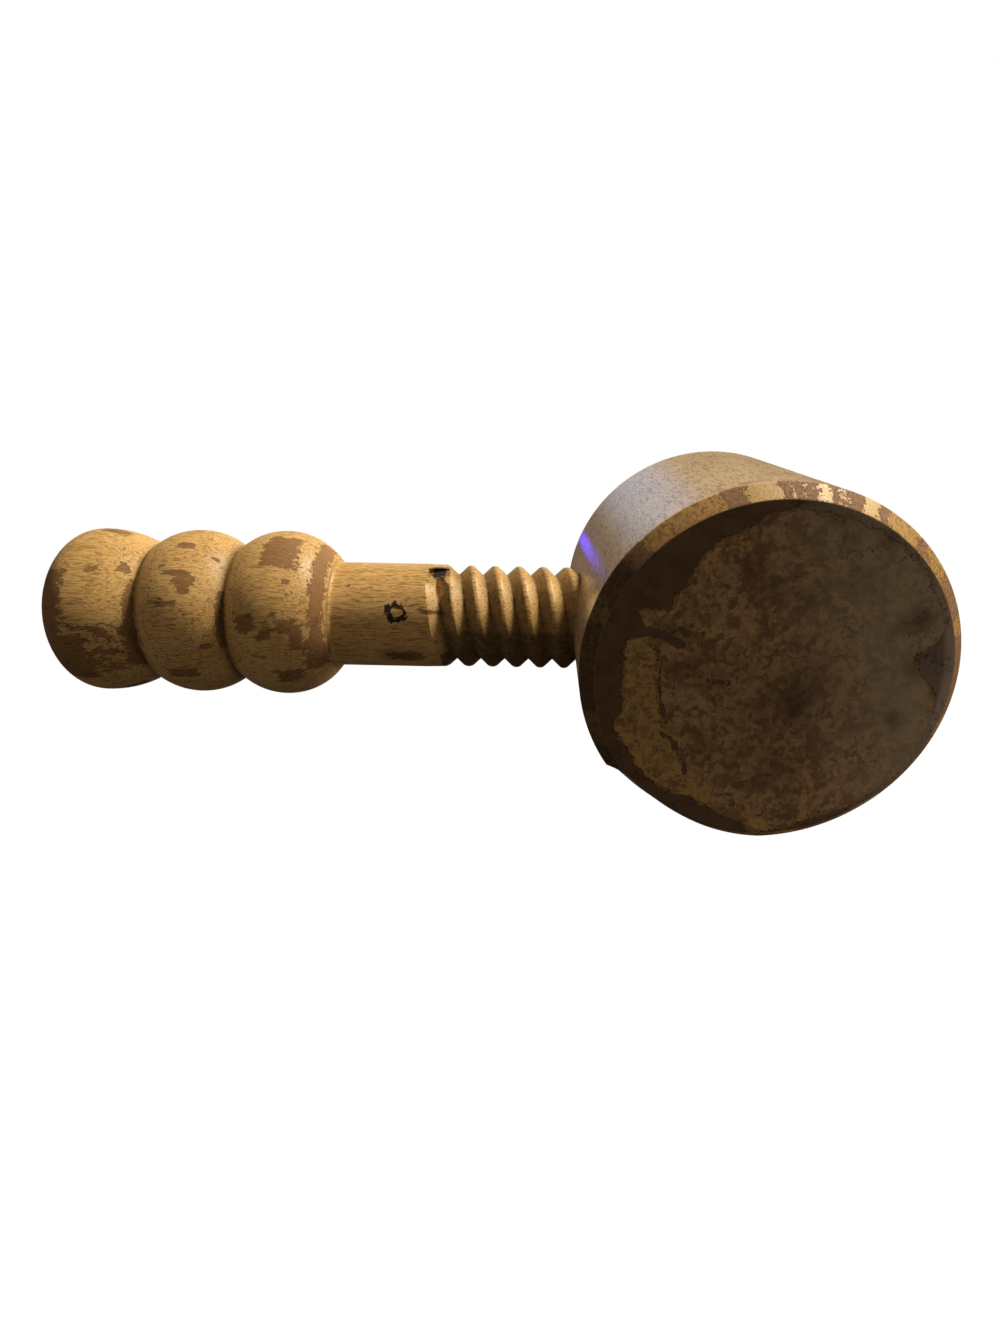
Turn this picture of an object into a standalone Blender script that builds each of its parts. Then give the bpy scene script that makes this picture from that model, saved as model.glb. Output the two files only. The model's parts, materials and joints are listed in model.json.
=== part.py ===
"""Screw nutcracker: a turned wooden cup with a wooden screw through its wall.

The cup stands on the flat face of its base, with its mouth up. The screw lies along X at
mid height and comes in from -X. Turning the three-bulb handle clockwise, seen from its
end, drives the nose of the screw across the cup and presses a nut against the far wall.
Lengths are in metres, +Z is up and the origin is the centre of the base.
"""
import math

import bmesh
import bpy
from mathutils import Matrix, Vector

MM = 0.001

# Cup, turned about Z
CUP_RADIUS = 28.5 * MM
CUP_HEIGHT = 55.1 * MM
CHAMFER_WIDTH = 2.15 * MM
CHAMFER_HEIGHT = 2.45 * MM
EDGE_ROUNDING = 0.4 * MM
LIP_ROUNDING = 1.7 * MM
CAVITY_RADIUS = 19.0 * MM
FLOOR_THICKNESS = 14.0 * MM
CAVITY_CORNER = 8.0 * MM

# Screw thread, right-handed
AXIS_HEIGHT = 29.65 * MM
SHANK_RADIUS = 9.5 * MM
CREST_RADIUS = 9.3 * MM
THREAD_DEPTH = 1.65 * MM
CREST_SPACING = 4.4 * MM
CREST_WIDTH = 0.45 * MM
ROOT_WIDTH = 0.25 * MM
THREAD_STARTS = 2
THREAD_IN_VIEW = 24.7 * MM
RUNOUT_ANGLE = math.radians(196.0)
RUNOUT_TURN = math.radians(25.0)
LEAD_IN = 1.6 * MM

# Nose of the screw, smooth and domed
NUT_ROOM = 24.0 * MM
NOSE_LENGTH = 6.0 * MM
NOSE_DOME = 2.8 * MM
NOSE_INSET = 0.05 * MM

# Handle, three bulbs turned on the end of the screw
SHANK_LENGTH = 17.45 * MM
SHOULDER_FILLET = 1.0 * MM
BULB_RADIUS = 15.0 * MM
BULB_CURVE = 11.4 * MM
BULB_SPACING = 15.85 * MM
MIDDLE_BULB_RADIUS = 14.9 * MM
END_BULB_RADIUS = 14.9 * MM
END_BULB_CURVE = 17.2 * MM
END_BULB_SPACING = 17.5 * MM
END_CAP_LENGTH = 9.1 * MM
END_CAP_FULLNESS = 2.1
GROOVE_FILLET = 0.45 * MM

# Clearances
THREAD_CLEARANCE = 0.45 * MM
JOINT_GAP = 0.3 * MM
CUT_THROUGH = 4.0 * MM

# Facets
CUP_STEPS = 72
SCREW_STEPS = 40
CAP_STEPS = 8
NOSE_STEPS = 5
ARC_TOLERANCE = 0.05 * MM
SAME_POINT = 0.0001 * MM
LEAST_EDGE = 0.03 * MM
SHARP_ANGLE = math.radians(32.0)

LEAD = CREST_SPACING * THREAD_STARTS
ROOT_RADIUS = CREST_RADIUS - THREAD_DEPTH
RUNOUT_X = -CUP_RADIUS - THREAD_IN_VIEW
NOSE_TIP_X = CAVITY_RADIUS - NUT_ROOM
NOSE_BACK_X = NOSE_TIP_X - NOSE_LENGTH
THREAD_END_X = NOSE_BACK_X - JOINT_GAP


def clear_scene():
    """Remove every object that the scene starts with."""
    for thing in list(bpy.data.objects):
        bpy.data.objects.remove(thing, do_unlink=True)


def wood(name, colour, roughness):
    """Return a Principled wood material of one sRGB colour."""
    material = bpy.data.materials.new(name)
    material.use_nodes = True
    shader = material.node_tree.nodes["Principled BSDF"]
    linear = [((c + 0.055) / 1.055) ** 2.4 if c > 0.04045 else c / 12.92 for c in colour]
    shader.inputs["Base Color"].default_value = (*linear, 1.0)
    shader.inputs["Roughness"].default_value = roughness
    shader.inputs["Metallic"].default_value = 0.0
    material.diffuse_color = (*linear, 1.0)
    return material


def new_object(name, bm, material, parent=None):
    """Turn a bmesh into a named object with outward faces and smooth round sides."""
    bmesh.ops.recalc_face_normals(bm, faces=bm.faces)
    mesh = bpy.data.meshes.new(name)
    bm.to_mesh(mesh)
    bm.free()
    mesh.shade_smooth()
    mesh.set_sharp_from_angle(angle=SHARP_ANGLE)
    thing = bpy.data.objects.new(name, mesh)
    bpy.context.collection.objects.link(thing)
    if material is not None:
        mesh.materials.append(material)
    thing.parent = parent
    return thing


def arc(centre, radius, start, stop):
    """Return points on a circle of the profile plane, from one angle to another."""
    widest = 2 * math.acos(max(0.5, 1 - ARC_TOLERANCE / radius))
    count = math.ceil(abs(stop - start) / widest)
    angles = [start + (stop - start) * i / count for i in range(count + 1)]
    return [centre + Vector((math.cos(a), math.sin(a))) * radius for a in angles]


def rounded_outline(corners):
    """Return an outline through corners given as (point, rounding), each corner an arc."""
    points = [corners[0][0]]
    for (before, _), (corner, rounding), (after, _) in zip(corners, corners[1:], corners[2:]):
        into = (before - corner).normalized()
        out = (after - corner).normalized()
        half = into.angle(out) / 2
        centre = corner + (into + out).normalized() * (rounding / math.sin(half))
        first = corner + into * (rounding / math.tan(half)) - centre
        last = corner + out * (rounding / math.tan(half)) - centre
        start = math.atan2(first.y, first.x)
        sweep = math.remainder(math.atan2(last.y, last.x) - start, math.tau)
        points += arc(centre, rounding, start, start + sweep)
    points.append(corners[-1][0])
    return points


def spin_profile(profile, axis, steps):
    """Revolve a profile of 3-D points once about an axis through the origin."""
    bm = bmesh.new()
    verts = [bm.verts.new(point) for point in profile]
    edges = [bm.edges.new(pair) for pair in zip(verts, verts[1:])]
    bmesh.ops.spin(bm, geom=verts + edges, cent=(0, 0, 0), axis=axis, dvec=(0, 0, 0),
                   angle=math.tau, steps=steps, use_merge=True, use_duplicate=False)
    bmesh.ops.remove_doubles(bm, verts=bm.verts, dist=SAME_POINT)
    return bm


def cup_profile():
    """Return the cup's section as (radius, height), from the base's centre to the floor's."""
    corners = [
        (Vector((0, 0)), 0),
        (Vector((CUP_RADIUS - CHAMFER_WIDTH, 0)), EDGE_ROUNDING),
        (Vector((CUP_RADIUS, CHAMFER_HEIGHT)), EDGE_ROUNDING),
        (Vector((CUP_RADIUS, CUP_HEIGHT)), LIP_ROUNDING),
        (Vector((CAVITY_RADIUS, CUP_HEIGHT)), LIP_ROUNDING),
        (Vector((CAVITY_RADIUS, FLOOR_THICKNESS)), CAVITY_CORNER),
        (Vector((0, FLOOR_THICKNESS)), 0),
    ]
    return rounded_outline(corners)


def fillet_centre(first, first_radius, second, second_radius):
    """Return the point at one distance from each of two points, on the outer side."""
    across = second - first
    span = across.length
    along = (span ** 2 + first_radius ** 2 - second_radius ** 2) / (2 * span)
    rise = math.sqrt(first_radius ** 2 - along ** 2)
    along_unit = across / span
    return first + along_unit * along + Vector((-along_unit.y, along_unit.x)) * rise


def angle_to(centre, point):
    """Return the direction from one profile point to another."""
    return math.atan2(point.y - centre.y, point.x - centre.x)


def handle_profile():
    """Return the handle's section as (x, radius), from its end to the shank.

    Each bulb is one arc, and a small hollow arc joins it to the next bulb or to the shank.
    """
    near_x = RUNOUT_X - SHANK_LENGTH - math.sqrt(
        (BULB_CURVE + SHOULDER_FILLET) ** 2
        - (SHANK_RADIUS + SHOULDER_FILLET - BULB_RADIUS + BULB_CURVE) ** 2)
    middle_x = near_x - BULB_SPACING
    end_x = middle_x - END_BULB_SPACING
    bulbs = [
        (Vector((end_x, END_BULB_RADIUS - END_BULB_CURVE)), END_BULB_CURVE),
        (Vector((middle_x, MIDDLE_BULB_RADIUS - BULB_CURVE)), BULB_CURVE),
        (Vector((near_x, BULB_RADIUS - BULB_CURVE)), BULB_CURVE),
    ]
    power = 2 / END_CAP_FULLNESS
    turns = [math.radians(90) * i / CAP_STEPS for i in range(CAP_STEPS)]
    points = [Vector((end_x - END_CAP_LENGTH * math.cos(t) ** power,
                      END_BULB_RADIUS * math.sin(t) ** power)) for t in turns]
    start = math.radians(90)
    for (centre, curve), (following, next_curve) in zip(bulbs, bulbs[1:]):
        hollow = fillet_centre(centre, curve + GROOVE_FILLET, following, next_curve + GROOVE_FILLET)
        points += arc(centre, curve, start, angle_to(centre, hollow))
        arrive = angle_to(hollow, centre) % math.tau
        leave = angle_to(hollow, following) % math.tau
        points += arc(hollow, GROOVE_FILLET, arrive, leave)[1:-1]
        start = angle_to(following, hollow)
    centre, curve = bulbs[-1]
    hollow = Vector((RUNOUT_X - SHANK_LENGTH, SHANK_RADIUS + SHOULDER_FILLET))
    points += arc(centre, curve, start, angle_to(centre, hollow))
    arrive = angle_to(hollow, centre) % math.tau
    points += arc(hollow, SHOULDER_FILLET, arrive, math.radians(270))[1:]
    return points


def nose_profile():
    """Return the nose's section as (x, radius), from its flat back to its domed tip."""
    radius = ROOT_RADIUS - NOSE_INSET
    points = [Vector((NOSE_BACK_X, 0)), Vector((NOSE_BACK_X, radius))]
    for i in range(NOSE_STEPS + 1):
        turn = math.radians(90) * i / NOSE_STEPS
        points.append(Vector((NOSE_TIP_X - NOSE_DOME + NOSE_DOME * math.sin(turn),
                              radius * math.cos(turn))))
    points[-1].y = 0
    return points


def smooth_step(t):
    """Return 0 below 0, 1 above 1 and an even rise between."""
    t = min(max(t, 0.0), 1.0)
    return t * t * (3 - 2 * t)


def screw_crest(x):
    """Return the radius of the screw's crests at x, with its lead-in at the nose end."""
    blend = smooth_step((x - RUNOUT_X) / CREST_SPACING)
    radius = SHANK_RADIUS + (CREST_RADIUS - SHANK_RADIUS) * blend
    lead_in = smooth_step((THREAD_END_X - x) / LEAD_IN)
    return ROOT_RADIUS + (radius - ROOT_RADIUS) * lead_in


def screw_root(x):
    """Return the radius at the bottom of the screw's grooves at x, where each one runs out."""
    fade = smooth_step((x - RUNOUT_X) / (LEAD * RUNOUT_TURN / math.tau))
    return max(screw_crest(x) - THREAD_DEPTH * fade, ROOT_RADIUS)


def tap_crest(x):
    """Return the radius of the cup's thread at its deepest, with clearance round the crests."""
    return CREST_RADIUS + THREAD_CLEARANCE


def tap_root(x):
    """Return the radius of the cup's thread at its narrowest, with clearance in the grooves."""
    return ROOT_RADIUS + THREAD_CLEARANCE


def thread_faces(bm, first_ring, last_x, last_radius, crest, root):
    """Add the faces of a thread between a ring of vertices and a flat end.

    A groove has two edges at its root and two at its crest. Each edge is a helix, so it
    crosses every angle once per turn, and one turn leads it to the edge that lies one lead
    further. A cell between two neighbouring angles runs from one shared edge to the next.
    """
    steps = len(first_ring)
    first_x = first_ring[0].co.x
    half_root = ROOT_WIDTH / 2
    half_crest = CREST_WIDTH / 2
    offsets = [(-half_root, root), (half_root, root),
               (CREST_SPACING / 2 - half_crest, crest), (CREST_SPACING / 2 + half_crest, crest)]
    per_turn = len(offsets) * THREAD_STARTS
    columns = []
    for j in range(steps):
        angle = math.tau * j / steps
        shift = RUNOUT_X + LEAD * (angle - RUNOUT_ANGLE) / math.tau
        column = {}
        lowest = math.floor((first_x - shift) / CREST_SPACING) - 1
        highest = math.ceil((last_x - shift) / CREST_SPACING) + 1
        for n in range(lowest, highest + 1):
            for k, (offset, radius_at) in enumerate(offsets):
                x = shift + n * CREST_SPACING + offset
                if first_x + LEAST_EDGE < x < last_x - LEAST_EDGE:
                    place = (x, radius_at(x) * math.cos(angle), radius_at(x) * math.sin(angle))
                    column[n * len(offsets) + k] = bm.verts.new(place)
        columns.append(column)
    last_ring = [bm.verts.new((last_x, last_radius * math.cos(math.tau * j / steps),
                               last_radius * math.sin(math.tau * j / steps))) for j in range(steps)]
    for j in range(steps):
        here, there = columns[j], columns[(j + 1) % steps]
        wrap = per_turn if j == steps - 1 else 0
        left = [("start", first_ring[j])] + sorted(here.items()) + [("end", last_ring[j])]
        right = [("start", first_ring[(j + 1) % steps])]
        right += sorted((key - wrap, vert) for key, vert in there.items())
        right += [("end", last_ring[(j + 1) % steps])]
        add_cells(bm, left, right)
    bm.faces.new(last_ring)


def add_cells(bm, left, right):
    """Join two columns of keyed vertices by one face between each two keys that they share."""
    right_keys = [key for key, _ in right]
    shared = [(i, right_keys.index(key)) for i, (key, _) in enumerate(left) if key in right_keys]
    for (i, j), (next_i, next_j) in zip(shared, shared[1:]):
        near = [vert for _, vert in left[i:next_i + 1]]
        far = [vert for _, vert in right[j:next_j + 1]]
        bm.faces.new(near + far[::-1])


def sorted_ring(bm, x, steps):
    """Return the vertices at one x, in order of their angle about the X axis, from +Y."""
    ring = [vert for vert in bm.verts if abs(vert.co.x - x) < SAME_POINT]
    return sorted(ring, key=lambda vert: round(math.atan2(vert.co.z, vert.co.y) / math.tau * steps) % steps)


def build_screw(material, axis):
    """Model the handle, shank and thread as one turned and threaded piece."""
    shank_end = RUNOUT_X - CREST_SPACING / 2
    profile = [Vector((point.x, point.y, 0)) for point in handle_profile()]
    profile.append(Vector((shank_end, SHANK_RADIUS, 0)))
    bm = spin_profile(profile, (1, 0, 0), SCREW_STEPS)
    thread_faces(bm, sorted_ring(bm, shank_end, SCREW_STEPS), THREAD_END_X, ROOT_RADIUS, screw_crest, screw_root)
    return new_object("screw", bm, material, axis)


def build_nose(material, axis):
    """Model the smooth end of the screw that bears on the nut."""
    profile = [Vector((point.x, point.y, 0)) for point in nose_profile()]
    bm = spin_profile(profile, (1, 0, 0), SCREW_STEPS)
    return new_object("screw_nose", bm, material, axis)


def build_tap(axis):
    """Model the cutter of the cup's threaded hole, from outside the wall into the cavity."""
    start = -CUP_RADIUS - CUT_THROUGH
    bm = bmesh.new()
    bmesh.ops.create_circle(bm, cap_ends=True, radius=ROOT_RADIUS, segments=SCREW_STEPS,
                            matrix=Matrix.Translation((start, 0, 0)) @ Matrix.Rotation(math.radians(90), 4, "Y"))
    thread_faces(bm, sorted_ring(bm, start, SCREW_STEPS), -CAVITY_RADIUS + 2 * CUT_THROUGH, ROOT_RADIUS,
                 tap_crest, tap_root)
    tap = new_object("thread_tap", bm, None, axis)
    tap.hide_render = True
    tap.display_type = "WIRE"
    return tap


def build_cup(material, tap):
    """Model the cup and cut the screw's threaded hole through its wall."""
    profile = [Vector((point.x, 0, point.y)) for point in cup_profile()]
    cup = new_object("cup", spin_profile(profile, (0, 0, 1), CUP_STEPS), material)
    hole = cup.modifiers.new("threaded_hole", "BOOLEAN")
    hole.operation = "DIFFERENCE"
    hole.solver = "EXACT"
    hole.object = tap
    return cup


def main():
    """Build the nutcracker."""
    clear_scene()
    cup_wood = wood("cup_wood", (0.50, 0.39, 0.26), 0.5)
    screw_wood = wood("screw_wood", (0.68, 0.53, 0.32), 0.45)
    axis = bpy.data.objects.new("screw_axis", None)
    axis.location = (0, 0, AXIS_HEIGHT)
    bpy.context.collection.objects.link(axis)
    tap = build_tap(axis)
    build_cup(cup_wood, tap)
    build_screw(screw_wood, axis)
    build_nose(screw_wood, axis)


main()
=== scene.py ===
"""Screw nutcracker, dressed: an old turned cup and its wooden screw under flaking lacquer.

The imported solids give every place. The screw (handle, shank, thread and nose) is one turned
stick, so one mesh stands for the nodes screw and screw_nose, and a second mesh stands for
the cup. Lengths are metres, +Z is up and the origin is the centre of the cup's base.
"""
import json
import logging
import math
import random
from collections.abc import Callable, Iterator
from contextlib import contextmanager
from dataclasses import dataclass, replace
from enum import Enum

import bpy
import numpy as np
from mathutils import Matrix, Vector


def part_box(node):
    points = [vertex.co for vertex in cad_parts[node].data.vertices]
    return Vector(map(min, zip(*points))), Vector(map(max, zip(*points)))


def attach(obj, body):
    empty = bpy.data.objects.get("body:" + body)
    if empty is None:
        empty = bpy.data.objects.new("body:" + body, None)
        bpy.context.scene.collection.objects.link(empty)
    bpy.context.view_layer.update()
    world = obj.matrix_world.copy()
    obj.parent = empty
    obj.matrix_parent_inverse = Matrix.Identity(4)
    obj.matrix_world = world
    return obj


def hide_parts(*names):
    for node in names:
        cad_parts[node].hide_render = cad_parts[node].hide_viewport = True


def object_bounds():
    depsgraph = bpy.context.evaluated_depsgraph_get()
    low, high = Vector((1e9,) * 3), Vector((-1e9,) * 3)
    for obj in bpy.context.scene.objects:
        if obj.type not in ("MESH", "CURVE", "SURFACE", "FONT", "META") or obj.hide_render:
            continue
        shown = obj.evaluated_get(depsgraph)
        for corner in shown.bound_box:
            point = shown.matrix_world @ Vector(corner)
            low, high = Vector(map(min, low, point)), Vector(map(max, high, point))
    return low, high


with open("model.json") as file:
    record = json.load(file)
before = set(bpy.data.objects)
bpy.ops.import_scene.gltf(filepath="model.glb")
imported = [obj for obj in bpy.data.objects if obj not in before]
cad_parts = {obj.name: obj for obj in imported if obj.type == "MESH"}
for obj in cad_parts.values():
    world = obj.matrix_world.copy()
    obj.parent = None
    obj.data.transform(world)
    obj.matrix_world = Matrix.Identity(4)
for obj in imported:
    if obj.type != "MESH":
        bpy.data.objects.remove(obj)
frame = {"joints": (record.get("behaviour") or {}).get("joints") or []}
CAD_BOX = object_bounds()

MM = 0.001
SAME_POINT = 0.002 * MM
QUARTER = math.radians(90)
# Wear attributes: bare wood; grime together with painted shade; pale places, lowered on the base where a
# grey sheen is painted.
WEAR = ("bare", "dirt_and_shade", "pale")

Socket = bpy.types.NodeSocket
Thing = bpy.types.Object
Pair = tuple[float, float]
Triple = tuple[float, float, float]

log = logging.getLogger("nutcracker")


def linear(hex_colour: str) -> tuple[float, float, float, float]:
    """Turn an sRGB hex colour into Blender's linear RGBA.

    Args:
        hex_colour: Six hex digits after a hash sign.

    Returns:
        Red, green, blue and alpha, linear.
    """
    parts = [int(hex_colour[i:i + 2], 16) / 255 for i in (1, 3, 5)]
    return (*(((c + 0.055) / 1.055) ** 2.4 if c > 0.04045 else c / 12.92 for c in parts), 1.0)


class Nodes:
    """The node tree of a material, a lamp or the world, while it is being filled."""

    def __init__(self, owner: bpy.types.ID) -> None:
        """Start with an empty tree on its owner."""
        owner.use_nodes = True
        self.tree = owner.node_tree
        self.tree.nodes.clear()

    def add(self, kind: str, sockets: dict | None = None, out: str = "", **settings) -> Socket:
        """Add a node, set its options and fill its sockets by value or by link.

        Args:
            kind: The node's type name, without its ShaderNode prefix.
            sockets: Value, hex colour or output socket for each input, by name or index.
            out: The name of the output wanted; the first one in use if empty.
            **settings: Options of the node, such as its operation.

        Returns:
            The wanted output socket, or the first input of a node without outputs.
        """
        node = self.tree.nodes.new("ShaderNode" + kind)
        for name, value in settings.items():
            setattr(node, name, value)
        for key, value in (sockets or {}).items():
            if isinstance(key, int):
                socket = node.inputs[key]
            else:
                socket = next(s for s in node.inputs if s.enabled and s.name == key)
            if isinstance(value, Socket):
                self.tree.links.new(value, socket)
            else:
                socket.default_value = linear(value) if isinstance(value, str) else value
        outputs = [s for s in node.outputs if s.enabled and out in ("", s.name)]
        return outputs[0] if outputs else node.inputs[0]

    def layered(self, start: Socket | float, *layers: tuple[Socket, Socket | float]) -> Socket:
        """Return a value with layers added to it one by one, each times its weight."""
        for layer, weight in layers:
            start = self.add("Math", {0: layer, 1: weight, 2: start}, operation="MULTIPLY_ADD")
        return start

    def painted(self, ground: Socket | str, *coats: tuple[Socket, Socket | str]) -> Socket:
        """Return a colour under coats of others, each as strong as its mask says."""
        for mask, coat in coats:
            ground = self.add("Mix", {"Factor": mask, "A": ground, "B": coat}, data_type="RGBA")
        return ground

    def soiled_and_shaded(self, grime_and_shade: Socket, noise: Socket, spread: float) -> Socket:
        """Return the grime and painted shade broken up by a noise, which spread makes patchier."""
        patchy = self.layered(grime_and_shade, (self.layered(-spread / 2, (noise, spread)), 1.0))
        return self.add("Math", {0: patchy, 1: grime_and_shade}, operation="MULTIPLY", use_clamp=True)

    def worn(self) -> list[Socket]:
        """Return the mesh attributes for bare places, grime with painted shade, and pale places."""
        return [self.add("Attribute", out="Fac", attribute_name=name) for name in WEAR]

    def place(self, centre: Triple = (0, 0, 0), turn: Triple = (0, 0, 0), squeeze: float = 1.0) -> Socket:
        """Return object coordinates in millimetres.

        Args:
            centre: The point that they are measured from.
            turn: How they are turned about it.
            squeeze: What X is multiplied by, besides.

        Returns:
            The coordinates as a vector socket.
        """
        place = self.add("TexCoord", out="Object")
        centred = self.add("Mapping", {"Vector": place, "Location": tuple(-c for c in centre)})
        return self.add("Mapping", {"Vector": centred, "Rotation": turn,
                                    "Scale": (squeeze / MM, 1 / MM, 1 / MM)})


class Grain(Enum):
    """The direction that the wood's fibres run in, as the turn that lays it along X."""

    ALONG_X = (0.0, 0.0, 0.0)
    ALONG_Z = (0.0, QUARTER, 0.0)


@dataclass(frozen=True)
class Finish:
    """What a surface is made of, how it has worn and where shade is painted on it, as the wear attributes
    of its mesh say.
    """

    name: str

    def skin(self, nodes: Nodes) -> dict[str, Socket | float | str]:
        """Return what goes into the sockets of the surface's shader."""
        raise NotImplementedError

    def material(self) -> bpy.types.Material:
        """Build the finish as a node material."""
        material = bpy.data.materials.new(self.name)
        nodes = Nodes(material)
        nodes.add("OutputMaterial", {"Surface": nodes.add("BsdfPrincipled", self.skin(nodes))})
        return material


@dataclass(frozen=True)
class WornLacquer(Finish):
    """Turned hardwood under an old brushed lacquer that flakes off along the grain.

    The lacquer gives a warm satin skin with fine brush streaks and small pits. Where it has
    flaked, dull redder wood shows, and the flakes break in steps: long straight edges with
    the grain and short ragged ones across it. The mesh attribute "bare" says where wood
    shows, the second wear attribute where grime lies and where shade is painted in the grime
    colour, and "pale" where the lacquer is thick and yellow. Lengths and widths of the
    patterns are millimetres along and across the grain. Real pores are finer than 0.1 mm,
    and they are drawn wider here so that they show.
    """

    lacquer: str
    lacquer_deep: str
    lacquer_pale: str
    wood: str
    wood_dark: str
    # The grime colour also paints shade, where the second wear attribute says.
    grime_and_shade: str
    grain: Grain
    centre: Triple = (0, 0, 0)
    knot: Triple | None = None
    knot_radius: float = 1.3
    coat: float = 0.0
    coat_roughness: float = 0.10
    satin: float = 0.42
    dull: float = 0.72
    dirty: float = 0.85
    flake_length: float = 3.0
    flake_width: float = 0.85
    splinter_length: float = 1.0
    splinter_width: float = 0.3
    streak_length: float = 4.5
    streak_width: float = 0.2
    fleck_length: float = 1.3
    fleck_width: float = 0.3
    fleck_share: float = 0.02
    film_thickness: float = 0.09
    raggedness: float = 0.9

    def stretched(self, nodes: Nodes, space: Socket, length: float, width: float) -> Socket:
        """Return the pattern space divided by a length along the grain and a width across it."""
        return nodes.add("Mapping", {"Vector": space, "Scale": (1 / length, 1 / width, 1 / width)})

    def cells(self, nodes: Nodes, space: Socket, length: float, width: float) -> Socket:
        """Return one random value, 0 to 1, for each block of a grain-aligned mosaic."""
        place = self.stretched(nodes, space, length, width)
        blocks = nodes.add("TexVoronoi", {"Vector": place, "Scale": 1.0}, out="Color", distance="CHEBYCHEV")
        return nodes.add("SeparateColor", {"Color": blocks}, out="Red")

    def drawn_out(self, nodes: Nodes, space: Socket, length: float, width: float, detail: float,
                  roughness: float = 0.5, out: str = "") -> Socket:
        """Return noise whose lumps are drawn out along the grain."""
        place = self.stretched(nodes, space, length, width)
        return nodes.add("TexNoise", {"Vector": place, "Scale": 1.0, "Detail": detail,
                                      "Roughness": roughness}, out=out)

    def wood_shows(self, nodes: Nodes, space: Socket, bare: Socket) -> Socket:
        """Return 1 where the lacquer has flaked away and 0 where it still holds."""
        wave = nodes.add("TexNoise", {"Vector": space, "Scale": 0.8, "Detail": 4.0, "Roughness": 0.6},
                         out="Color")
        bent = nodes.add("VectorMath", {0: wave, 1: (1.2, 0.7, 0.7), 2: space}, operation="MULTIPLY_ADD")
        coarse = self.cells(nodes, bent, self.flake_length, self.flake_width)
        fine = self.cells(nodes, bent, self.splinter_length, self.splinter_width)
        cloud = self.drawn_out(nodes, space, 2.6, 0.9, 4.0, 0.65)
        mixed = nodes.layered(-0.95, (coarse, 0.45), (fine, 0.35), (cloud, 1.1))
        total = nodes.layered(bare, (mixed, self.raggedness))
        return nodes.add("MapRange", {"Value": total, "From Min": 0.46, "From Max": 0.54})

    def knot_ring(self, nodes: Nodes) -> Socket:
        """Return the strength of the dark broken ring that a pin knot leaves."""
        about = nodes.place(self.knot, squeeze=0.9)
        wobble = nodes.add("TexNoise", {"Vector": about, "Scale": 0.9, "Detail": 3.0})
        patchy = nodes.add("TexNoise", {"Vector": about, "Scale": 1.6, "Detail": 2.0})
        distance = nodes.add("VectorMath", {0: about}, out="Value", operation="LENGTH")
        distance = nodes.layered(distance, (wobble, 2.4))
        distance = nodes.add("Math", {0: distance, 1: self.knot_radius + 1.2}, operation="SUBTRACT")
        distance = nodes.add("Math", {0: distance}, operation="ABSOLUTE")
        distance = nodes.layered(distance, (patchy, 1.5))
        return nodes.add("MapRange", {"Value": distance, "From Min": 1.35, "From Max": 1.1})

    def skin(self, nodes: Nodes) -> dict[str, Socket | float | str]:
        """Return the colour, the gloss and the relief of lacquer, bare wood and grime."""
        space = nodes.place(self.centre, self.grain.value)
        bare, grime_and_shade, pale = nodes.worn()
        flaked = self.wood_shows(nodes, space, bare)

        sway = self.drawn_out(nodes, space, 5.0, 2.5, 3.0, out="Color")
        swayed = nodes.add("VectorMath", {0: sway, 1: (0, 1.6, 1.6), 2: space}, operation="MULTIPLY_ADD")
        streaks = self.drawn_out(nodes, swayed, self.streak_length, self.streak_width, 5.0, 0.65)
        fibres = self.drawn_out(nodes, space, 3.0, 0.12, 2.0)
        mottle = self.drawn_out(nodes, space, 9.0, 5.0, 3.0)
        speckle = self.drawn_out(nodes, space, 0.9, 0.35, 2.0)
        tone = nodes.add("MapRange", {"Value": streaks, "From Min": 0.37, "From Max": 0.53})
        tone = nodes.layered(tone, (mottle, 0.9), (speckle, 0.8))
        tone = nodes.add("MapRange", {"Value": tone, "From Min": 0.8, "From Max": 1.95})
        wood_tone = nodes.layered(streaks, (fibres, 0.6))
        wood_tone = nodes.add("MapRange", {"Value": wood_tone, "From Min": 0.6, "From Max": 1.0})
        wood = nodes.painted(self.wood_dark, (wood_tone, self.wood))

        chips = self.cells(nodes, swayed, self.fleck_length, self.fleck_width)
        near = nodes.add("TexNoise", {"Vector": space, "Scale": 0.5, "Detail": 2.0})
        near = nodes.add("MapRange", {"Value": near, "From Min": 0.35, "From Max": 0.7,
                                      "To Min": 1.0, "To Max": 1.0 - 3.0 * self.fleck_share})
        pit = nodes.add("Math", {0: chips, 1: near}, operation="GREATER_THAN")
        marks = [nodes.layered(0.0, (pit, 0.4))]
        if self.knot:
            marks.append(self.knot_ring(nodes))
        # Grime and painted shade, from the second wear attribute, broken up by a smear.
        smear = nodes.add("TexNoise", {"Vector": space, "Scale": 0.9, "Detail": 4.0, "Roughness": 0.7})
        soil_and_shade = nodes.soiled_and_shaded(grime_and_shade, smear, 0.9)
        for mark in marks:
            soil_and_shade = nodes.add("Math", {0: soil_and_shade, 1: mark}, operation="MAXIMUM")
        colour = nodes.painted(self.lacquer_deep, (tone, self.lacquer), (pale, self.lacquer_pale),
                               (flaked, wood), (soil_and_shade, self.grime_and_shade))

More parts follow.
